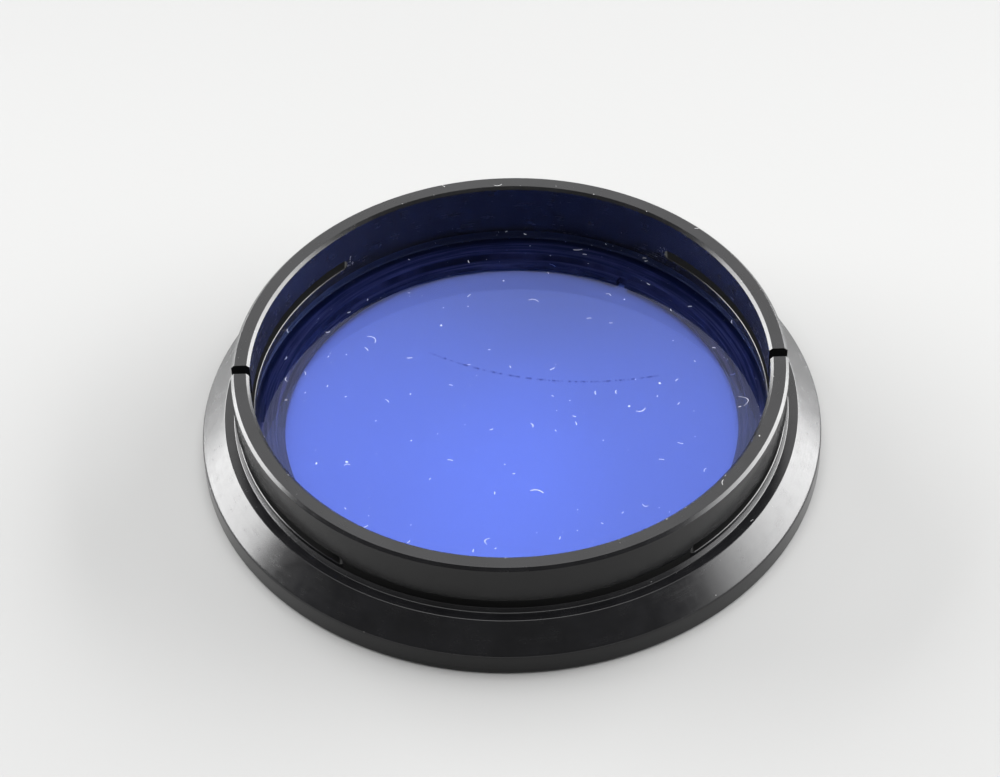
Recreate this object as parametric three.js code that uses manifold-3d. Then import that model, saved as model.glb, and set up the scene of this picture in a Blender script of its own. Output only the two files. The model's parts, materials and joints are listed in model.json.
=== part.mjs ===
// A slip-on colour filter for the end of a telescope tube or lens: a turned, black anodised mount,
// a blue glass disc and the threaded ring that holds the glass in. Lengths are in millimetres.
//
// The mount stands on the face of its wide rim, with its collar upwards. Two saw cuts on one
// diameter, each opening into a slot that runs along the foot of the collar, free four curved
// spring fingers. A finger bends about the upright line where it joins the solid wall.
// +Z is the optical axis, the saw cuts lie on the X axis, and z = 0 is the face that it stands on.

import * as THREE from 'three';
import { mergeVertices } from 'three/addons/utils/BufferGeometryUtils.js';
import Module from 'manifold-3d';

const wasm = await Module();
wasm.setup();

// Collar
const BORE_R = 21.0;            // slides over a 42 mm barrel
const WALL_R = 22.5;
const RIM_Z = 8.8;
const RIM_EDGE = 0.25;          // chamfers of the rim, inside and outside

// Flange
const LEDGE_R = 23.5;
const LEDGE_Z = 4.0;
const FLANGE_R = 25.5;
const FLANGE_TURN = 0.2;        // blunts the flange's outer edge
const BASE_EDGE = 0.25;         // chamfer where the flange meets its front face
const CONE_DROP = 2.0;          // the flange falls at 45 degrees
const FOOT_W = 0.22;            // chamfer at the foot of the collar
const FOOT_H = 0.36;

// Slots and saw cuts
const SAW_W = 0.9;
const SLOT_Z = 4.7;
const SLOT_END = 51.5;          // degrees from a saw cut to each end of its slot
const ROOT_GAP = 0.3;           // clearance at a finger's root, so that the finger can turn

// Glass, its pocket and the retaining ring
const GLASS_R = 21.45;
const GLASS_Z = 1.6;
const GLASS_TOP = 3.8;
const GLASS_EDGE = 0.2;
const POCKET_R = 21.6;          // the bore's lower end is the lip that holds the glass down
const THREAD_R = 22.0;
const THREAD_TOP = 1.8;
const RING_R = 21.9;
const RING_APERTURE_R = 18.7;
const RING_Z = 0.2;
const RING_EDGE = 0.25;
const RING_STEP_R = 19.4;       // rebate of the aperture, towards the glass
const RING_STEP_Z = 0.9;
const SPANNER_W = 0.8;          // the two spanner notches, cut outwards from the aperture
const SPANNER_END = 19.35;
const SPANNER_ANGLE = 58.5;     // degrees

// Fineness of the round shapes
const TURNS = 108;
const SECTOR_STEPS = 16;
const REACH = 40;               // cutters run past the object
const THROUGH = 4;
const ABOVE = RIM_Z + 1;
const FUSE = 1e-3;

const radians = THREE.MathUtils.degToRad;

// A closed ring or disc about Z, from (radius, height) points in counter-clockwise order.
function turned(points, turns = TURNS) {
  const profile = points.map(([r, z]) => new THREE.Vector2(r, z));
  if (points.every(([r]) => r > 0)) {
    profile.push(profile[0].clone());
  }
  const geometry = new THREE.LatheGeometry(profile, turns);
  geometry.rotateX(Math.PI / 2);
  return geometry;
}

// An upright prism of the plan outline, from z0 to z1.
function prism(shape, z0, z1) {
  const geometry = new THREE.ExtrudeGeometry(shape, { depth: z1 - z0, bevelEnabled: false });
  geometry.translate(0, 0, z0);
  return geometry;
}

// The wedge about Z between two bearings in degrees, from z0 to z1.
function wedge(from, to, z0, z1) {
  const shape = new THREE.Shape();
  shape.moveTo(0, 0);
  for (let step = 0; step <= SECTOR_STEPS; step += 1) {
    const bearing = radians(from + (to - from) * step / SECTOR_STEPS);
    shape.lineTo(REACH * Math.cos(bearing), REACH * Math.sin(bearing));
  }
  shape.closePath();
  return prism(shape, z0, z1);
}

function box(x0, x1, y0, y1, z0, z1) {
  const geometry = new THREE.BoxGeometry(x1 - x0, y1 - y0, z1 - z0);
  geometry.translate((x0 + x1) / 2, (y0 + y1) / 2, (z0 + z1) / 2);
  return geometry;
}

function toSolid(geometry) {
  const bare = geometry.clone();
  bare.deleteAttribute('normal');
  bare.deleteAttribute('uv');
  const merged = mergeVertices(bare, FUSE);
  const vertProperties = new Float32Array(merged.attributes.position.array);
  const triVerts = new Uint32Array(merged.index.array);
  return new wasm.Manifold(new wasm.Mesh({ numProp: 3, vertProperties, triVerts }));
}

function toGeometry(solid) {
  const mesh = solid.getMesh();
  const geometry = new THREE.BufferGeometry();
  geometry.setAttribute('position', new THREE.BufferAttribute(mesh.vertProperties, 3));
  geometry.setIndex(new THREE.BufferAttribute(mesh.triVerts, 1));
  geometry.computeVertexNormals();
  return geometry;
}

const anodised = new THREE.MeshStandardMaterial({ color: 0x151416, roughness: 0.32, metalness: 0.6 });
const ringBlack = new THREE.MeshStandardMaterial({ color: 0x101012, roughness: 0.45, metalness: 0.5 });
const blueGlass = new THREE.MeshStandardMaterial({
  color: 0x4a63e0, roughness: 0.05, metalness: 0, transparent: true, opacity: 0.6,
});

function part(name, geometry, material) {
  const mesh = new THREE.Mesh(geometry, material);
  mesh.name = name;
  return mesh;
}

// Rim section shared by the fingers and the solid parts of the collar.
const rimSection = [
  [WALL_R, RIM_Z - RIM_EDGE],
  [WALL_R - RIM_EDGE, RIM_Z],
  [BORE_R + RIM_EDGE, RIM_Z],
  [BORE_R, RIM_Z - RIM_EDGE],
];

// The mount in one piece, before its collar is sawn.
function mountSection() {
  const coneFoot = LEDGE_Z - CONE_DROP;
  return [
    [THREAD_R + BASE_EDGE, 0],
    [FLANGE_R - BASE_EDGE, 0],
    [FLANGE_R, BASE_EDGE],
    [FLANGE_R, coneFoot - FLANGE_TURN],
    [FLANGE_R - FLANGE_TURN / 2, coneFoot + FLANGE_TURN / 2],
    [LEDGE_R, LEDGE_Z],
    [WALL_R + FOOT_W, LEDGE_Z],
    [WALL_R, LEDGE_Z + FOOT_H],
    ...rimSection,
    [BORE_R, GLASS_TOP],
    [POCKET_R, GLASS_TOP],
    [POCKET_R, THREAD_TOP],
    [THREAD_R, THREAD_TOP],
    [THREAD_R, BASE_EDGE],
  ];
}

// The four fingers: bearings in degrees of their free end and their root.
const fingers = [
  { name: 'finger_back_right', free: 0, root: SLOT_END },
  { name: 'finger_back_left', free: 180, root: 180 - SLOT_END },
  { name: 'finger_front_left', free: 180, root: 180 + SLOT_END },
  { name: 'finger_front_right', free: 360, root: 360 - SLOT_END },
];

function mountBody() {
  let solid = toSolid(turned(mountSection()));
  for (const side of [0, 180]) {
    const cutter = wedge(side - SLOT_END, side + SLOT_END, SLOT_Z, ABOVE);
    solid = solid.subtract(toSolid(cutter));
  }
  return toGeometry(solid);
}

// One spring finger, between its saw cut and a small clearance at its root.
function finger({ free, root }) {
  const slotTop = SLOT_Z + SAW_W;
  const section = [[BORE_R, slotTop], [WALL_R, slotTop], ...rimSection];
  const gap = THREE.MathUtils.radToDeg(ROOT_GAP / BORE_R);
  const rootEdge = root + Math.sign(free - root) * gap;
  const bearings = [free, rootEdge].sort((a, b) => a - b);
  const sector = toSolid(wedge(...bearings, SLOT_Z, ABOVE));
  const sawCut = toSolid(box(-REACH, REACH, -SAW_W / 2, SAW_W / 2, SLOT_Z, ABOVE));
  return toGeometry(toSolid(turned(section)).intersect(sector).subtract(sawCut));
}

function filterGlass() {
  return turned([
    [0, GLASS_Z],
    [GLASS_R - GLASS_EDGE, GLASS_Z],
    [GLASS_R, GLASS_Z + GLASS_EDGE],
    [GLASS_R, GLASS_TOP - GLASS_EDGE],
    [GLASS_R - GLASS_EDGE, GLASS_TOP],
    [0, GLASS_TOP],
  ]);
}

// The retaining ring screws in from the front, turned by a spanner in its two notches.
function retainingRing() {
  let solid = toSolid(turned([
    [RING_APERTURE_R + RING_EDGE, RING_Z],
    [RING_R - RING_EDGE, RING_Z],
    [RING_R, RING_Z + RING_EDGE],
    [RING_R, GLASS_Z],
    [RING_STEP_R, GLASS_Z],
    [RING_STEP_R, RING_STEP_Z],
    [RING_APERTURE_R, RING_STEP_Z],
    [RING_APERTURE_R, RING_Z + RING_EDGE],
  ]));
  for (const bearing of [SPANNER_ANGLE, SPANNER_ANGLE + 180]) {
    const notch = box(0, SPANNER_END, -SPANNER_W / 2, SPANNER_W / 2, -THROUGH, THROUGH);
    notch.rotateZ(radians(bearing));
    solid = solid.subtract(toSolid(notch));
  }
  return toGeometry(solid);
}

const group = new THREE.Group();
group.add(part('mount_body', mountBody(), anodised));
for (const spec of fingers) {
  group.add(part(spec.name, finger(spec), anodised));
}
group.add(part('filter_glass', filterGlass(), blueGlass));
group.add(part('retaining_ring', retainingRing(), ringBlack));

export default group;
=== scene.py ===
# A slip-on blue colour filter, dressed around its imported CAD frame.
# Lengths are in metres and in the frame's axes; MM turns millimetres into them.
import json
import math
import random

import bmesh
import bpy
import numpy as np
from mathutils import Matrix, Vector


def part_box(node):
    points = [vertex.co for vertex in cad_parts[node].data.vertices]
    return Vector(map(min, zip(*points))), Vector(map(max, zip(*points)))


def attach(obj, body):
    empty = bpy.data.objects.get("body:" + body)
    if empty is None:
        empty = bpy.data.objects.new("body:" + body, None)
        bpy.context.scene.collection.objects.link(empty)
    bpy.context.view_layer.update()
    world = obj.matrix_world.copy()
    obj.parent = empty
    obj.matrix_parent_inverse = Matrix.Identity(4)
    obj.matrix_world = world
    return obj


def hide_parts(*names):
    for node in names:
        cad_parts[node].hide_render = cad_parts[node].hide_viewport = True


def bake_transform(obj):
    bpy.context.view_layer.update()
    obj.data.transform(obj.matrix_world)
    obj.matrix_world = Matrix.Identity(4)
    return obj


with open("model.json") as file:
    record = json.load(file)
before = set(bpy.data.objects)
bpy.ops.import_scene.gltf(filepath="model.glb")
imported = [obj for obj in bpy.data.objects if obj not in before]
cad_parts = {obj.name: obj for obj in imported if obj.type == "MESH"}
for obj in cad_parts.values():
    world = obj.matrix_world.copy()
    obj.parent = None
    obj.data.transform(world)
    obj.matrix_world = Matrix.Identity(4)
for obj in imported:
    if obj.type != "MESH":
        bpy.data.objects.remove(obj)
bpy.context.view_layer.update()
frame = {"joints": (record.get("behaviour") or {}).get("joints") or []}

MM = 0.001

# ---------------------------------------------------------------- sizes, in millimetres
mount_low, mount_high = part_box("mount_body")
glass_low, glass_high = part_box("filter_glass")
ring_low, ring_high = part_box("retaining_ring")
FLANGE_R = mount_high.x / MM
RIM_Z = mount_high.z / MM
GLASS_R = glass_high.x / MM
GLASS_Z = glass_low.z / MM
GLASS_TOP = glass_high.z / MM
RING_R = ring_high.x / MM
RING_Z = ring_low.z / MM
hinge = frame["joints"][0]["pos_m"]
MID_R = math.hypot(hinge[0], hinge[1]) / MM
SLOT_END = math.degrees(math.atan2(hinge[1], hinge[0]))   # degrees from the saw cut

BORE_R = 21.0
WALL_R = 22.5
LEDGE_R = 23.5
LEDGE_Z = 4.0
CONE_DROP = 2.0
FOOT_W = 0.21
FOOT_H = 0.37
POCKET_R = 21.6
THREAD_R = 22.0
THREAD_TOP = 1.8
RIM_EDGE = 0.25
BASE_EDGE = 0.25
SAW_W = 0.9
SLOT_MID = 5.17
SLOT_HALF = 0.43
SLOT_EDGE = 0.05          # chamfer of the slots' long edges
TIP_EDGE = 0.02           # and of their round ends
SAW_EDGE = 0.02           # and of the saw cuts
SEAM = 58.0               # a finger's mesh ends here, in the solid wall past its slot
SQUARE_FROM = 3.0         # the slots' ends are square out to here, in degrees from their middle,
SQUARE_FADE = 3.2         # and turn radial over this
SPLAY = {1: 0.10, -1: 0.15}   # how far the free ends stand out at rest, right and left
APERTURE_R = 18.7
RING_STEP_R = 19.4
RING_STEP_Z = 0.9
RING_SHADE_R = 20.8             # the ring's land is darkened to black outside this radius, painted shade under the mount's lip
SPANNER_W = 0.8
SPANNER_END = 19.35
SPANNER_ANGLE = 58.5      # degrees
CONTACT = 0.015           # air gap between touching parts, which keeps their faces apart

COLUMN = 0.75             # degrees between the columns of a turned surface
TOOL_STEP = (0.10, 0.26)  # the turning tool's marks on the ring: widths and depths
TOOL_DEPTH = (0.004, 0.02)


# ---------------------------------------------------------------- mesh helpers
def rounded(corners, closed=False, step=15.0):
    """The (r, z) path through corners (r, z, radius), with each corner rounded to its radius."""
    path = []
    count = len(corners)
    for i, (r, z, radius) in enumerate(corners):
        if radius <= 0 or (not closed and i in (0, count - 1)):
            path.append((r, z))
            continue
        corner = np.array((r, z), float)
        back = np.array(corners[i - 1][:2], float) - corner
        ahead = np.array(corners[(i + 1) % count][:2], float) - corner
        room = 0.49 * min(np.linalg.norm(back), np.linalg.norm(ahead))
        back /= np.linalg.norm(back)
        ahead /= np.linalg.norm(ahead)
        half = math.acos(max(-1.0, min(1.0, float(back @ ahead)))) / 2
        reach = min(radius / math.tan(half), room)
        radius = reach * math.tan(half)
        middle = back + ahead
        centre = corner + middle / np.linalg.norm(middle) * radius / math.sin(half)
        first = corner + back * reach - centre
        last = corner + ahead * reach - centre
        turn = math.pi - 2 * half
        steps = max(2, math.ceil(math.degrees(turn) / step))
        for k in range(steps + 1):
            f = k / steps
            point = (math.sin((1 - f) * turn) * first + math.sin(f * turn) * last) / math.sin(turn)
            path.append(tuple(centre + point))
    return path


def mesh_object(name, points, faces, internal=()):
    """A closed mesh from points in millimetres. The faces in internal lie between two pieces."""
    mesh = bpy.data.meshes.new(name)
    mesh.from_pydata([tuple(c * MM for c in p) for p in points], [], faces)
    flags = mesh.attributes.new("inside", "BOOLEAN", "FACE")
    values = np.zeros(len(faces), bool)
    values[list(internal)] = True
    flags.data.foreach_set("value", values)
    bm = bmesh.new()
    bm.from_mesh(mesh)
    bmesh.ops.remove_doubles(bm, verts=bm.verts, dist=1e-4 * MM)
    bmesh.ops.recalc_face_normals(bm, faces=bm.faces)
    open_edges = sum(1 for e in bm.edges if len(e.link_faces) != 2)
    if open_edges:
        print(name, "has open edges:", open_edges)
    bm.to_mesh(mesh)
    bm.free()
    obj = bpy.data.objects.new(name, mesh)
    bpy.context.scene.collection.objects.link(obj)
    return obj


def share_normals(objects, angle=40.0):
    """Gives all the objects the smooth normals of the one surface that they form together."""
    limit = math.cos(math.radians(angle))
    corner_face, corner_place, normals, areas, inside = [], [], [], [], []
    spans = []
    first_face = 0
    for obj in objects:
        mesh = obj.data
        places = np.empty(len(mesh.vertices) * 3)
        mesh.vertices.foreach_get("co", places)
        places = places.reshape(-1, 3)
        loop_vertex = np.empty(len(mesh.loops), int)
        mesh.loops.foreach_get("vertex_index", loop_vertex)
        totals = np.empty(len(mesh.polygons), int)
        mesh.polygons.foreach_get("loop_total", totals)
        face_normal = np.empty(len(mesh.polygons) * 3)
        mesh.polygons.foreach_get("normal", face_normal)
        area = np.empty(len(mesh.polygons))
        mesh.polygons.foreach_get("area", area)
        flag = np.empty(len(mesh.polygons), bool)
        mesh.attributes["inside"].data.foreach_get("value", flag)
        corner_face.append(np.repeat(np.arange(len(totals)), totals) + first_face)
        corner_place.append(places[loop_vertex])
        normals.append(face_normal.reshape(-1, 3))
        areas.append(area)
        inside.append(flag)
        spans.append(len(loop_vertex))
        first_face += len(totals)
    corner_face = np.concatenate(corner_face)
    corner_place = np.concatenate(corner_place)
    normals = np.concatenate(normals)
    areas = np.concatenate(areas)
    inside = np.concatenate(inside)
    keys = np.round(corner_place / (2e-4 * MM)).astype(np.int64)
    _, corner_vertex = np.unique(keys, axis=0, return_inverse=True)
    corner_vertex = corner_vertex.ravel()
    result = normals[corner_face].copy()
    live = np.nonzero(~inside[corner_face])[0]
    order = live[np.argsort(corner_vertex[live], kind="stable")]
    vertex = corner_vertex[order]
    starts = np.nonzero(np.r_[True, vertex[1:] != vertex[:-1]])[0]
    counts = np.diff(np.r_[starts, len(vertex)])
    for count in np.unique(counts):
        rows = starts[counts == count][:, None] + np.arange(count)[None, :]
        corners = order[rows]
        near = normals[corner_face[corners]]
        weight = areas[corner_face[corners]]
        alike = np.einsum("nik,njk->nij", near, near) > limit
        total = np.einsum("nij,nj,njk->nik", alike, weight, near)
        total /= np.linalg.norm(total, axis=2, keepdims=True)
        result[corners] = total
    first = 0
    for obj, span in zip(objects, spans):
        mesh = obj.data
        mesh.polygons.foreach_set("use_smooth", np.ones(len(mesh.polygons), bool))
        mesh.normals_split_custom_set([tuple(n) for n in result[first:first + span]])
        mesh.attributes.remove(mesh.attributes["inside"])
        first += span


# ---------------------------------------------------------------- the mount
def quarter_columns():
    """Columns from a saw cut to a quarter turn on. Each holds its slot's two edge loops."""
    centre = math.radians(SLOT_END) * MID_R - SLOT_HALF - TIP_EDGE
    columns = []
    straight = math.degrees(centre / MID_R)
    count = math.ceil(straight / COLUMN)
    for i in range(count):
        bearing = straight * i / count
        columns.append([(bearing, SLOT_HALF + SLOT_EDGE, 0.0), (bearing, SLOT_HALF, SLOT_EDGE)])
    turns = 8
    for i in range(turns + 1):
        phi = math.pi / 2 * (1 - i / turns)
        edge = TIP_EDGE + (SLOT_EDGE - TIP_EDGE) * max(0.0, 1 - 2.0 * i / turns)
        column = []
        for radius, depth in ((SLOT_HALF + edge, 0.0), (SLOT_HALF, edge)):
            bearing = math.degrees((centre + radius * math.cos(phi)) / MID_R)
            column.append((bearing, radius * math.sin(phi), depth))
        columns.append(column)
    for start, end in ((SLOT_END, SEAM), (SEAM, 90.0)):
        count = math.ceil((end - start) / COLUMN)
        for i in range(1, count + 1):
            bearing = start + (end - start) * i / count
            columns.append([(bearing, 0.0, 0.0), (bearing, 0.0, TIP_EDGE)])
    return columns


QUARTER = quarter_columns()
SLOT_X = MID_R * math.cos(math.radians(SLOT_END))


def lean(bearing, r):
    """Shifts a bearing near a slot's end: the ends lie on planes square to the saw cuts' diameter."""
    away = abs(bearing - SLOT_END)
    share = 1 - np.clip((away - SQUARE_FROM) / SQUARE_FADE, 0, 1)
    share = share * share * (3 - 2 * share)
    r = min(max(r, BORE_R), WALL_R)
    return bearing + share * math.degrees(math.acos(SLOT_X / r) - math.acos(SLOT_X / MID_R))


def place(side, bearing, r, z, splay=0.0):
    """A point of quarter side = (sign of x, sign of y)."""
    bearing = lean(bearing, r)
    r += splay * max(0.0, 1 - bearing / SLOT_END) ** 2
    a = math.radians(bearing)
    return (side[0] * r * math.cos(a), side[1] * r * math.sin(a), z)


QUARTERS = [(1, 1), (-1, 1), (-1, -1), (1, -1)]


def around():
    """(side, column number) once round, from the right saw cut by the back."""
    last = len(QUARTER) - 1
    steps = []
    for number, side in enumerate(QUARTERS):
        columns = range(last) if number % 2 == 0 else range(last, 0, -1)
        steps += [(side, c) for c in columns]
    return steps


def lower_rows():
    """The mount's section below the middle of the slots, as (r, z) rows down outside and up inside."""
    cone_foot = LEDGE_Z - CONE_DROP
    outside = [
        (WALL_R, SLOT_MID, 0), (WALL_R, LEDGE_Z + FOOT_H, 0.12), (WALL_R + FOOT_W, LEDGE_Z, 0.1),
        (LEDGE_R, LEDGE_Z, 0.1), (FLANGE_R, cone_foot, 0.44), (FLANGE_R, 0, 0.25),
        (THREAD_R + BASE_EDGE, 0, 0.04), (THREAD_R, BASE_EDGE, 0.04), (THREAD_R, THREAD_TOP, 0.04),
        (POCKET_R, THREAD_TOP, 0.04), (POCKET_R, GLASS_TOP, 0.04), (BORE_R, GLASS_TOP, 0.03),
        (BORE_R, SLOT_MID, 0),
    ]
    return rounded(outside)[1:-1]


def mount_body():
    fixed = lower_rows()
    steps = around()
    points = []
    for side, c in steps:
        column = QUARTER[c]
        bearing = column[0][0]
        section = [place(side, bearing, WALL_R, SLOT_MID - column[0][1])]
        section += [place(side, bearing, r, z) for r, z in fixed]
        for edge, half, depth in column:
            section.append(place(side, edge, BORE_R + depth, SLOT_MID - half))
        edge, half, depth = column[1]
        section.append(place(side, edge, WALL_R - depth, SLOT_MID - half))
        rows = len(section)
        points += section
    cap_from = 1 + len(fixed)
    faces, internal = [], []
    count = len(steps)
    seam_column = next(i for i, c in enumerate(QUARTER) if abs(c[0][0] - SEAM) < 1e-6)
    for i in range(count):
        j = (i + 1) % count
        inner = min(steps[i][1], steps[j][1])
        for k in range(rows):
            cap = k >= cap_from
            if cap and inner >= seam_column:
                continue                      # the solid wall goes on upwards here
            if cap and QUARTER[inner][0][1] == 0:
                internal.append(len(faces))
            after = (k + 1) % rows
            faces.append((i * rows + k, i * rows + after, j * rows + after, j * rows + k))
    for back in (1, -1):
        add_solid_arc(points, faces, internal, back, seam_column)
    return mesh_object("mount_body_turned", points, faces, internal)


def upper_rows(inset=0.0):
    """The collar's section above its bottom edges: up outside, over the rim and down inside."""
    out, top, bore = WALL_R - inset, RIM_Z - inset, BORE_R + inset
    path = rounded([
        (out, SLOT_MID, 0), (out, top - RIM_EDGE, 0.05), (out - RIM_EDGE, top, 0.05),
        (bore + RIM_EDGE, top, 0.05), (bore, top - RIM_EDGE, 0.05), (bore, SLOT_MID, 0),
    ])
    return path[1:-1]


def upper_section(side, column, inset=0.0, lift=0.0, splay=0.0, cut=None):
    """One closed section of the collar above the slots.
    cut is its distance from the saw cuts' diameter, at a free end."""
    def at(loop, r, z):
        if cut is None:
            return place(side, loop[0], r, z, splay)
        r += splay
        return (side[0] * math.sqrt(r * r - cut * cut), side[1] * cut, z)
    surface, deep = column
    section = [at(surface, WALL_R - inset, SLOT_MID + surface[1] + lift)]
    section += [at(surface, r, z) for r, z in upper_rows(inset)]
    for loop in (surface, deep):
        section.append(at(loop, BORE_R + inset + loop[2], SLOT_MID + loop[1] + lift))
    section.append(at(deep, WALL_R - inset - deep[2], SLOT_MID + deep[1] + lift))
    return section


def strip(faces, first, columns, rows, skip=()):
    """Quads between neighbouring closed sections."""
    made = []
    for i in range(columns - 1):
        for k in range(rows):
            if k in skip:
                continue
            a, b = first + i * rows, first + (i + 1) * rows
            made.append(len(faces))
            faces.append((a + k, a + (k + 1) % rows, b + (k + 1) % rows, b + k))
    return made


def add_solid_arc(points, faces, internal, back, seam_column):
    """The unsawn wall at the back (1) or front (-1), between the fingers' seams."""
    last = len(QUARTER) - 1
    steps = [((1, back), c) for c in range(seam_column, last)]
    steps += [((-1, back), c) for c in range(last, seam_column - 1, -1)]
    first = len(points)
    for side, c in steps:
        section = upper_section(side, QUARTER[c])
        rows = len(section)
        points += section
    caps = range(1 + len(upper_rows()), rows)
    strip(faces, first, len(steps), rows, skip=caps)
    for start in (first, first + (len(steps) - 1) * rows):
        internal.append(len(faces))
        faces.append(tuple(range(start, start + rows)))


def finger(name, side):
    """A spring finger, from its free end at the saw cut to the seam in the solid wall."""
    splay = SPLAY[side[0]]
    points, sections = [], 0
    root_columns = [c for c in QUARTER if 2.2 < c[0][0] < SEAM + 1e-6]
    straight = QUARTER[0]
    for inset in (SAW_EDGE, 0.0):
        cut = SAW_W / 2 + SAW_EDGE - inset
        section = upper_section(side, straight, inset=inset, lift=inset, splay=splay, cut=cut)
        points += section
        sections += 1
    rows = len(section)
    for column in root_columns:
        points += upper_section(side, column, splay=splay)
        sections += 1
    faces = []
    made = strip(faces, 0, sections, rows)
    internal = []
    cap_from = 1 + len(upper_rows())
    first_root = 2
    for index in made:
        i, k = divmod(index, rows)
        if k >= cap_from and i >= first_root and root_columns[i - first_root][0][1] == 0:
            internal.append(index)
    faces.append(tuple(range(rows)))
    internal.append(len(faces))
    faces.append(tuple(range((sections - 1) * rows, sections * rows)))
    return mesh_object(name, points, faces, internal)


FINGERS = {
    "back_right": (1, 1), "back_left": (-1, 1), "front_left": (-1, -1), "front_right": (1, -1),
}
body = mount_body()
fingers = {name: finger(f"finger_{name}_turned", side) for name, side in FINGERS.items()}
share_normals([body, *fingers.values()])


# ---------------------------------------------------------------- glass and retaining ring
def turned_object(name, path, columns=480):
    """A closed solid of revolution from a closed (r, z) path that may touch the axis."""
    points, faces = [], []
    ring_of = []
    for r, z in path:
        if r < 1e-9:
            ring_of.append([len(points)] * columns)
            points.append((0.0, 0.0, z))
            continue
        ring_of.append(list(range(len(points), len(points) + columns)))
        for i in range(columns):
            a = 2 * math.pi * i / columns
            points.append((r * math.cos(a), r * math.sin(a), z))
    for here, after in zip(ring_of, ring_of[1:] + ring_of[:1]):
        for i in range(columns):
            j = (i + 1) % columns
            corner = [here[i], here[j], after[j], after[i]]
            face = list(dict.fromkeys(corner))
            if len(face) > 2:
                faces.append(tuple(face))
    return mesh_object(name, points, faces)


def filter_glass():
    low, high = GLASS_Z + CONTACT, GLASS_TOP - CONTACT
    out = GLASS_R - 0.03
    middle, edge, blunt = 12, 0.15, 0.04
    corners = [
        (0, high, 0), (middle, high, 0), (out - edge, high, blunt), (out, high - edge, blunt),
        (out, low + edge, blunt), (out - edge, low, blunt), (middle, low, 0), (0, low, 0),
    ]
    obj = turned_object("filter_glass_disc", rounded(corners))
    share_normals([obj], 30)
    return obj


def retaining_ring():
    top = GLASS_Z - CONTACT
    draw = random.Random(11)
    corners = [
        (RING_R, RING_Z + BASE_EDGE, 0.03), (RING_R, top - 0.1, 0.02), (RING_R - 0.1, top, 0.02),
    ]
    r = RING_R - 0.3
    step = draw.uniform(*TOOL_STEP)
    while r - step > RING_STEP_R + 0.05:
        corners += [(r, top, 0), (r - step / 2, top - draw.uniform(*TOOL_DEPTH), 0)]
        r -= step
        step = draw.uniform(*TOOL_STEP)
    corners += [
        (RING_STEP_R, top, 0.02), (RING_STEP_R, RING_STEP_Z, 0.05), (APERTURE_R, RING_STEP_Z, 0.02),
        (APERTURE_R, RING_Z + BASE_EDGE, 0.03), (APERTURE_R + BASE_EDGE, RING_Z, 0.04),
        (RING_R - BASE_EDGE, RING_Z, 0.04),
    ]
    obj = turned_object("retaining_ring_turned", rounded(corners, closed=True, step=40), 360)
    for number, turn in enumerate((0, 180)):
        bpy.ops.mesh.primitive_cube_add(size=1, rotation=(0, 0, math.radians(SPANNER_ANGLE + turn)))
        cutter = bpy.context.object
        cutter.name = f"spanner_cutter_{number}"
        cutter.scale = (SPANNER_END * MM, SPANNER_W * MM, 8 * MM)
        cutter.location = cutter.rotation_euler.to_matrix() @ Vector((SPANNER_END / 2 * MM, 0, 0))
        cut = obj.modifiers.new("spanner_notch", "BOOLEAN")
        cut.operation, cut.solver, cut.object = "DIFFERENCE", "EXACT", cutter
        bpy.context.view_layer.objects.active = obj
        bpy.ops.object.modifier_apply(modifier=cut.name)
        bpy.data.objects.remove(cutter)
    if "inside" not in obj.data.attributes:
        obj.data.attributes.new("inside", "BOOLEAN", "FACE")
    share_normals([obj], 30)
    return obj


glass = filter_glass()
ring = retaining_ring()


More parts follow.
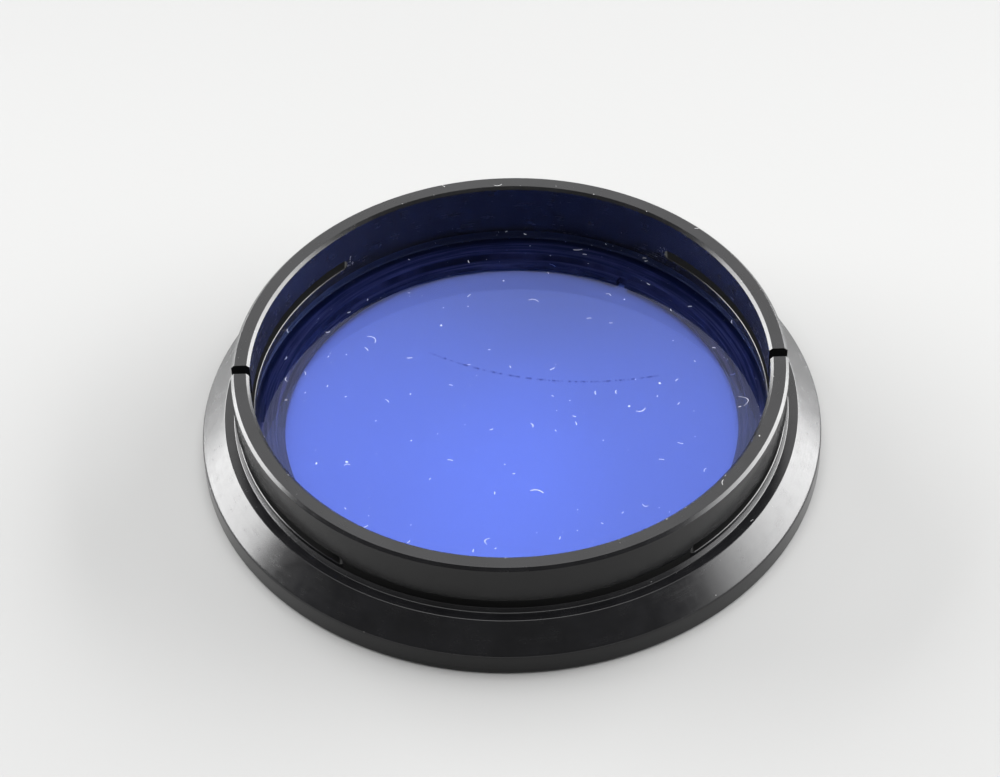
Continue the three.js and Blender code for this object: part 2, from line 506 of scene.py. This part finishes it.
# ---------------------------------------------------------------- node helpers
class Nodes:
    """A material's or world's node tree, with short calls for the nodes used here."""

    def __init__(self, owner):
        owner.use_nodes = True
        self.tree = owner.node_tree
        self.tree.nodes.clear()

    def node(self, kind, **settings):
        node = self.tree.nodes.new(kind)
        inputs = settings.pop("inputs", {})
        for key, value in settings.items():
            setattr(node, key, value)
        for key, value in inputs.items():
            self.feed(node.inputs[key], value)
        return node

    def feed(self, socket, value):
        if isinstance(value, bpy.types.NodeSocket):
            self.tree.links.new(value, socket)
        elif value is not None:
            socket.default_value = value

    def math(self, operation, a, b=None, c=None, clamp=False):
        node = self.node("ShaderNodeMath", operation=operation, use_clamp=clamp)
        for i, value in enumerate((a, b, c)):
            self.feed(node.inputs[i], value)
        return node.outputs[0]

    def ramp(self, value, low, high, to_low=0.0, to_high=1.0, smooth=True):
        node = self.node("ShaderNodeMapRange", interpolation_type="SMOOTHSTEP" if smooth else "LINEAR")
        for i, v in enumerate((value, low, high, to_low, to_high)):
            self.feed(node.inputs[i], v)
        return node.outputs[0]

    def mix(self, factor, a, b):
        node = self.node("ShaderNodeMix", data_type="RGBA")
        self.feed(node.inputs[0], factor)
        self.feed(node.inputs[6], a)
        self.feed(node.inputs[7], b)
        return node.outputs[2]

    def noise(self, vector, scale, detail=2.0, rough=0.5):
        return self.node("ShaderNodeTexNoise", inputs={
            "Vector": vector, "Scale": scale, "Detail": detail, "Roughness": rough}).outputs[0]

    def bump(self, height, distance):
        inputs = {"Height": height, "Distance": distance, "Strength": 1.0}
        return self.node("ShaderNodeBump", inputs=inputs).outputs[0]

    def place(self):
        """Position in millimetres, and its parts: (vector, x, y, z, radius)."""
        where = self.scale(self.node("ShaderNodeTexCoord").outputs["Object"], 1 / MM)
        x, y, z = self.split(where)
        return where, x, y, z, self.length(x, y)

    def join(self, x, y, z):
        return self.node("ShaderNodeCombineXYZ", inputs={0: x, 1: y, 2: z}).outputs[0]

    def split(self, vector):
        return self.node("ShaderNodeSeparateXYZ", inputs={0: vector}).outputs[:3]

    def length(self, x, y):
        squares = self.math("ADD", self.math("MULTIPLY", x, x), self.math("MULTIPLY", y, y))
        return self.math("SQRT", squares)

    def off(self, value, middle):
        """How far value is from middle, to either side."""
        return self.math("ABSOLUTE", self.math("SUBTRACT", value, middle))

    def shift(self, vector, by, operation="ADD"):
        inputs = {0: vector, 1: by}
        return self.node("ShaderNodeVectorMath", operation=operation, inputs=inputs).outputs[0]

    def scale(self, vector, by):
        return self.node("ShaderNodeVectorMath", operation="SCALE", inputs={0: vector, 3: by}).outputs[0]

    def dust(self, where, size, cell, share, offset=0.0, dimensions="3D"):
        """1 on small specks: one in each cell of a grid, and only a share are there.
        size is the largest speck's radius."""
        shifted = self.shift(where, (offset, offset * 1.7, offset * 0.6))
        bent = self.node("ShaderNodeTexNoise", inputs={"Vector": shifted, "Scale": 4.0}).outputs[1]
        moved = self.shift(shifted, self.scale(bent, size * 2.5))
        cells = self.node("ShaderNodeTexVoronoi", voronoi_dimensions=dimensions, inputs={
            "Vector": moved, "Scale": 1 / cell, "Randomness": 1.0})
        parts = self.node("ShaderNodeSeparateColor", inputs={0: cells.outputs["Color"]}).outputs
        there = self.math("LESS_THAN", parts[0], share)
        small, spread = 0.2 * size / cell, 0.8 * size / cell
        radius = self.math("MULTIPLY_ADD", self.math("POWER", parts[1], 3.0), spread, small)
        inside = self.math("DIVIDE", cells.outputs["Distance"], radius)
        inside = self.math("SUBTRACT", 1.0, inside, clamp=True)
        return self.math("MULTIPLY", self.math("POWER", inside, 0.5), there)

    def hairs(self, where, cell, share, width, lengths, offset=0.0):
        """1 along short bent hairs that lie flat: one in each cell of a grid, and only a share are there.
        width is half a hair's width, and lengths are its half length's range."""
        moved = self.shift(where, (offset, offset * 0.4, 0))
        cells = self.node("ShaderNodeTexVoronoi", voronoi_dimensions="2D", inputs={
            "Vector": moved, "Scale": 1 / cell, "Randomness": 0.8})
        draw = self.node("ShaderNodeSeparateColor", inputs={0: cells.outputs["Color"]}).outputs
        local = self.shift(moved, cells.outputs["Position"], "SUBTRACT")
        turned = self.node("ShaderNodeVectorRotate", rotation_type="Z_AXIS", inputs={
            "Vector": local, "Angle": self.math("MULTIPLY", draw[1], 2 * math.pi)}).outputs[0]
        u, v, _ = self.split(turned)
        bend = self.math("MULTIPLY_ADD", draw[2], 4.0, -1.4)
        curve = self.math("MULTIPLY", bend, self.math("MULTIPLY", u, u))
        scrambled = self.math("FRACT", self.math("MULTIPLY", draw[2], 7.3))
        half = self.ramp(scrambled, 0, 1, *lengths, smooth=False)
        line = self.ramp(self.off(v, curve), width, width * 0.4)
        line = self.math("MULTIPLY", line, self.math("LESS_THAN", self.math("ABSOLUTE", u), half))
        return self.math("MULTIPLY", line, self.math("LESS_THAN", draw[0], share))

    def principled(self, **inputs):
        """The shader. Its inputs are named with _ for a space."""
        named = {key.replace("_", " "): value for key, value in inputs.items()}
        return self.node("ShaderNodeBsdfPrincipled", inputs=named).outputs[0]

    def out(self, surface):
        self.node("ShaderNodeOutputMaterial", inputs={"Surface": surface})


def material(name):
    mat = bpy.data.materials.new(name)
    return mat, Nodes(mat)


# ---------------------------------------------------------------- materials
GLASS_TINT = (0.402, 0.518, 0.997)
GLASS_IOR = 1.52
SCRATCH_CENTRE = (7.3, 28.5)     # millimetres
SCRATCH_R = 26.2
SCRATCH_SPAN = (-10.0, 24.0)     # degrees from straight towards the front: middle and half width


def anodised(name, base, roughness, marks, burrs, rings=0.0, ior=GLASS_IOR, facing_share=1.0):
    """Black anodised, finely turned aluminium, with a little dust on what faces up.
    marks is the depth of the turning marks in millimetres. burrs adds torn metal where it was sawn.
    rings is the share of its colour that comes and goes with the radius; when it is set, the land's outer
    part is also darkened to black, which is painted shade under the mount's lip. facing_share scales the
    mirror reflection seen square on, and leaves the one seen at a glancing angle."""
    mat, n = material(name)
    where, x, y, z, radius = n.place()
    angle = n.math("ARCTAN2", y, x)
    lathe = n.join(radius, n.math("MULTIPLY", angle, 2.0), z)
    along = n.math("MULTIPLY", angle, 3.0)
    outward, upward = n.math("MULTIPLY", radius, 6.0), n.math("MULTIPLY", z, 6.0)
    fine = n.noise(n.join(outward, along, upward), 1.0, 2.0)
    waves = n.noise(lathe, 0.5, 1.0)
    cloud = n.noise(where, 0.35, 3.0)
    smudge = n.noise(where, 0.8, 4.0, 0.65)
    normal = n.bump(n.math("MULTIPLY_ADD", waves, 0.4, fine), marks * MM)
    up = n.split(n.node("ShaderNodeNewGeometry").outputs["Normal"])[2]
    flat = n.ramp(up, 0.9, 0.97)
    facing = n.ramp(up, -0.2, 0.75, 0.42, 1.0)
    specks = n.math("MAXIMUM", n.dust(where, 0.10, 1.3, 0.20), n.dust(where, 0.05, 0.5, 0.14, 7.0))
    fibres = n.math("MULTIPLY", n.hairs(where, 2.4, 0.12, 0.025, (0.12, 0.5), 3.0), flat)
    dirt = n.math("MAXIMUM", n.math("MULTIPLY", specks, facing), fibres, clamp=True)
    if burrs:
        dirt = n.math("MAXIMUM", dirt, burr_mask(n, where, angle, z, radius), clamp=True)
    dark, light = ((*[c * share for c in base], 1) for share in (0.85, 1.2))
    tint = n.mix(n.ramp(cloud, 0.35, 0.65), dark, light)
    if rings:
        lines = n.noise(n.join(radius, n.math("MULTIPLY", angle, 0.5), 0.0), 4.2, 3.0, 0.7)
        tint = n.mix(n.ramp(lines, 0.38, 0.66, rings, 0.0), tint, (0, 0, 0, 1))
        # painted shade: the ring's land turns black towards its outer edge, where the mount's lip shades
        # it
        tint = n.mix(n.ramp(radius, RING_SHADE_R - 0.1, RING_SHADE_R + 0.15), tint, (0, 0, 0, 1))
    colour = n.mix(dirt, tint, (0.6, 0.6, 0.6, 1))
    rough = n.ramp(fine, 0.3, 0.7, roughness * 0.95, roughness * 1.06)
    rough = n.math("MULTIPLY", rough, n.ramp(smudge, 0.3, 0.7, 0.88, 1.14))
    rough = n.math("MULTIPLY_ADD", dirt, 0.5, rough, clamp=True)
    n.out(n.principled(Base_Color=colour, Roughness=rough, IOR=ior, Normal=normal,
                       Specular_Tint=(*[facing_share] * 3, 1)))
    return mat


def burr_mask(n, where, angle, z, radius):
    """Bright torn metal at the slots' round ends, and small nicks along the rim's inner edge."""
    sawn = n.math("ABSOLUTE", n.math("SINE", angle))
    end = math.sin(math.radians(SLOT_END - 1.0))
    near_end = n.ramp(n.off(sawn, end), 0.022, 0.006)
    near_slot = n.ramp(n.off(z, SLOT_MID), SLOT_HALF + 0.3, SLOT_HALF)
    crumbs = n.ramp(n.noise(where, 6.0, 3.0, 0.7), 0.60, 0.68, 0.0, 0.7)
    torn = n.math("MULTIPLY", n.math("MULTIPLY", near_end, near_slot), crumbs)
    torn = n.math("MULTIPLY", torn, n.math("LESS_THAN", radius, BORE_R + 0.3))
    edge = n.ramp(n.off(radius, BORE_R + RIM_EDGE), 0.07, 0.02)
    edge = n.math("MULTIPLY", edge, n.math("GREATER_THAN", z, RIM_Z - 0.1))
    nicks = n.math("MULTIPLY", edge, n.ramp(n.noise(where, 1.9, 3.0, 0.7), 0.66, 0.70))
    return n.math("MAXIMUM", torn, nicks)


def sawn_metal():
    """The dull black of the slots' and saw cuts' faces."""
    mat, n = material("sawn_black")
    where, *_ = n.place()
    grain = n.noise(where, 8.0, 3.0)
    colour = n.mix(grain, (0.005, 0.005, 0.005, 1), (0.009, 0.009, 0.009, 1))
    rough = n.ramp(grain, 0.3, 0.7, 0.45, 0.55)
    n.out(n.principled(Base_Color=colour, Roughness=rough, Specular_IOR_Level=0.04,
                       Normal=n.bump(grain, 0.004 * MM)))
    return mat


def blue_glass():
    """Clear blue glass, with specks, hairs and a scratch on its upper face.
    Light from the lamps goes straight through it, tinted."""
    mat, n = material("blue_filter_glass")
    where, x, y, z, _ = n.place()
    upper = n.ramp(z, GLASS_TOP - 0.12, GLASS_TOP - 0.06)
    large = n.dust(where, 0.13, 2.6, 0.24, 11.0, "2D")
    small = n.dust(where, 0.06, 1.1, 0.15, 5.0, "2D")
    short = n.hairs(where, 1.7, 0.14, 0.036, (0.08, 0.26), 17.0)
    long = n.hairs(where, 4.4, 0.17, 0.034, (0.3, 0.6), 29.0)
    dirt = n.math("MAXIMUM", n.math("MAXIMUM", large, small), n.math("MAXIMUM", short, long))
    dirt = n.math("MULTIPLY", dirt, upper, clamp=True)
    scratch = n.math("MULTIPLY", scratch_mask(n, x, y), upper)
    colour = n.mix(dirt, (*GLASS_TINT, 1), (0.9, 0.92, 1.0, 1))
    colour = n.mix(scratch, colour, (0.10, 0.14, 0.45, 1))
    solid = n.principled(
        Base_Color=colour, Roughness=n.math("MULTIPLY", dirt, 0.6), IOR=GLASS_IOR,
        Specular_Tint=(0.38, 0.38, 0.42, 1), Transmission_Weight=n.math("MULTIPLY_ADD", dirt, -0.95, 1.0))
    shadow_ray = n.node("ShaderNodeLightPath").outputs["Is Shadow Ray"]
    through = n.node("ShaderNodeBsdfTransparent", inputs={"Color": (*GLASS_TINT, 1)}).outputs[0]
    n.out(n.node("ShaderNodeMixShader", inputs={0: shadow_ray, 1: solid, 2: through}).outputs[0])
    return mat


def scratch_mask(n, x, y):
    """A faint, broken, curved scratch across the glass."""
    dx = n.math("SUBTRACT", x, SCRATCH_CENTRE[0])
    dy = n.math("SUBTRACT", y, SCRATCH_CENTRE[1])
    line = n.ramp(n.off(n.length(dx, dy), SCRATCH_R), 0.16, 0.03)
    bearing = n.math("ARCTAN2", dx, n.math("MULTIPLY", dy, -1.0))
    middle, half = (math.radians(angle) for angle in SCRATCH_SPAN)
    inside = n.ramp(n.off(bearing, middle), half, half * 0.8)
    along = n.join(n.math("MULTIPLY", bearing, 20.0), 0.0, 0.0)
    broken = n.ramp(n.noise(along, 2.6, 3.0), 0.42, 0.60)
    return n.math("MULTIPLY", n.math("MULTIPLY", line, inside), broken)


def glass_edge():
    """The disc's ground edge, near black where it sits in the mount."""
    mat, n = material("ground_glass_edge")
    where, *_ = n.place()
    grain = n.noise(where, 30.0, 2.0)
    colour = n.mix(grain, (0.002, 0.003, 0.008, 1), (0.004, 0.006, 0.02, 1))
    rough = n.ramp(grain, 0.3, 0.7, 0.45, 0.7)
    n.out(n.principled(Base_Color=colour, Roughness=rough, IOR=GLASS_IOR,
                       Normal=n.bump(grain, 0.01 * MM)))
    return mat


def pale_floor():
    """Plain pale paper, with painted shade that makes it a little darker far behind the object."""
    mat, n = material("pale_floor")
    where, _, y, *_ = n.place()
    cloud = n.noise(where, 0.012, 3.0)
    grain = n.noise(where, 1.5, 3.0)
    colour = n.mix(cloud, (0.395, 0.395, 0.392, 1), (0.407, 0.407, 0.405, 1))
    # painted shade: the paper turns darker far behind the object
    colour = n.mix(n.ramp(y, 10, 130), colour, (0.334, 0.334, 0.333, 1))
    rough = n.ramp(grain, 0.3, 0.7, 0.42, 0.48)
    n.out(n.principled(Base_Color=colour, Roughness=rough, IOR=1.4, Specular_IOR_Level=0.1,
                       Normal=n.bump(grain, 0.004 * MM)))
    return mat


sawn = sawn_metal()
black = anodised("black_anodised", (0.0062, 0.0062, 0.0072), 0.24, 0.0005, burrs=True)
# painted shade: the upright outer walls get a darker copy of the black anodised, with its reflection set
# apart too
shaded_sides = anodised("black_anodised_sides_painted_shade", (0.002, 0.002, 0.0024), 0.17, 0.0005, burrs=False, ior=1.65,
                 facing_share=0.42)
ring_black = anodised("ring_anodised_painted_shade", (0.09, 0.064, 0.057), 0.42, 0.0003, burrs=False, rings=0.9)
blue = blue_glass()
edge = glass_edge()

for obj in (body, *fingers.values()):
    for mat in (black, sawn, shaded_sides):
        obj.data.materials.append(mat)
    for face in obj.data.polygons:
        x, y, z = (c / MM for c in face.center)
        r = math.hypot(x, y)
        in_wall = BORE_R + SLOT_EDGE < r < WALL_R + max(SPLAY.values()) + 0.01
        in_slot = abs(z - SLOT_MID) < SLOT_HALF + 0.02
        in_saw_cut = abs(y) < SAW_W / 2 + 0.01 and z > SLOT_MID
        if in_wall and (in_slot or in_saw_cut):
            face.material_index = 1
        # upright outer faces take the darker copy of the anodised, which paints shade on them
        elif r > (BORE_R + WALL_R) / 2 and abs(face.normal.z) < 0.35:
            face.material_index = 2
ring.data.materials.append(ring_black)
glass.data.materials.append(blue)
glass.data.materials.append(edge)
for face in glass.data.polygons:
    if abs(face.normal.z) < 0.95:
        face.material_index = 1


# ---------------------------------------------------------------- riding on the frame
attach(body, "mount")
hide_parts("mount_body")
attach(glass, "mount")
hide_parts("filter_glass")
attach(ring, "mount")
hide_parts("retaining_ring")
for name, side in FINGERS.items():
    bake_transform(fingers[name])
    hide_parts(f"finger_{name}")


# ---------------------------------------------------------------- floor, light, camera
FLOOR_HALF = 1.5                       # metres
FLOOR_Z = -0.02 * MM
floor_mesh = bpy.data.meshes.new("floor")
corners = [(x * FLOOR_HALF, y * FLOOR_HALF, FLOOR_Z) for x, y in ((-1, -1), (1, -1), (1, 1), (-1, 1))]
floor_mesh.from_pydata(corners, [], [(0, 1, 2, 3)])
floor = bpy.data.objects.new("floor", floor_mesh)
bpy.context.scene.collection.objects.link(floor)
floor.data.materials.append(pale_floor())


def softbox(name, start, end, top, distance, level, fade=None):
    """An upright soft light from bearing start to bearing end, distance metres away.
    It reaches up to an elevation of top degrees in its middle. level is its brightness, and it fades in
    from the bearing start to the bearing fade."""
    a = math.radians((start + end) / 2)
    high = distance * math.tan(math.radians(top))
    data = bpy.data.lights.new(name, "AREA")
    data.shape = "RECTANGLE"
    data.size = 2 * distance * math.tan(math.radians((end - start) / 2))
    data.size_y = high
    data.energy = level * 4 * data.size * data.size_y
    obj = bpy.data.objects.new(name, data)
    bpy.context.scene.collection.objects.link(obj)
    where = Vector((distance * math.cos(a), distance * math.sin(a), high / 2))
    obj.location = where
    facing = Vector((0, 0, high / 2)) - where
    obj.rotation_euler = facing.to_track_quat("-Z", "Y").to_euler()
    obj.visible_camera = False
    if fade is not None:
        n = Nodes(data)
        x, y, _ = n.split(n.node("ShaderNodeNewGeometry").outputs["Position"])
        strength = n.ramp(n.math("ARCTAN2", y, x), math.radians(start), math.radians(fade))
        lamp = n.node("ShaderNodeEmission", inputs={"Strength": strength})
        n.node("ShaderNodeOutputLight", inputs={0: lamp.outputs[0]})


softbox("softbox_left", 118, 178, 30, 0.75, 10.4)
softbox("softbox_right", -36, 58, 33, 0.75, 10.4, fade=12)

world = bpy.data.worlds.new("studio")
bpy.context.scene.world = world
n = Nodes(world)
direction = n.node("ShaderNodeTexCoord").outputs["Generated"]
BACK_LIGHT = math.radians(38)          # elevation of the soft light behind the object
towards = n.node("ShaderNodeVectorMath", operation="DOT_PRODUCT", inputs={
    0: direction, 1: (0, math.cos(BACK_LIGHT), math.sin(BACK_LIGHT))}).outputs["Value"]
back = n.ramp(towards, 0.92, 0.985, 0.0, 1.65)
overhead = n.ramp(n.split(direction)[2], 0.80, 0.93, 0.13, 3.4)
seen = n.node("ShaderNodeBackground", inputs={"Color": (0.8, 0.8, 0.8, 1), "Strength": 1.0})
light = n.math("ADD", back, overhead)
room = n.node("ShaderNodeBackground", inputs={"Color": (1, 1, 1, 1), "Strength": light})
camera_ray = n.node("ShaderNodeLightPath").outputs["Is Camera Ray"]
sky = n.node("ShaderNodeMixShader", inputs={0: camera_ray, 1: room.outputs[0], 2: seen.outputs[0]})
n.node("ShaderNodeOutputWorld", inputs={"Surface": sky.outputs[0]})

CAMERA_PLACE = (-0.865, -183.579, 192.099)     # millimetres
CAMERA_DOWN = 45.442                           # degrees below the horizon
CAMERA_ROLL = -1.8505
FOCAL = 115.2
camera_data = bpy.data.cameras.new("camera")
camera_data.lens = FOCAL
camera_data.sensor_width = 36.0
camera_data.clip_start = 0.01
camera = bpy.data.objects.new("camera", camera_data)
bpy.context.scene.collection.objects.link(camera)
down, roll = math.radians(CAMERA_DOWN), math.radians(CAMERA_ROLL)
right = Vector((1, 0, 0))
ahead = Vector((0, math.cos(down), -math.sin(down)))
upward = Vector((0, math.sin(down), math.cos(down)))
across = math.cos(roll) * right + math.sin(roll) * upward
above = -math.sin(roll) * right + math.cos(roll) * upward
turn = Matrix((across, above, -ahead)).transposed().to_4x4()
camera.matrix_world = Matrix.Translation(Vector(CAMERA_PLACE) * MM) @ turn
bpy.context.scene.camera = camera
bpy.context.scene.view_settings.view_transform = "Standard"
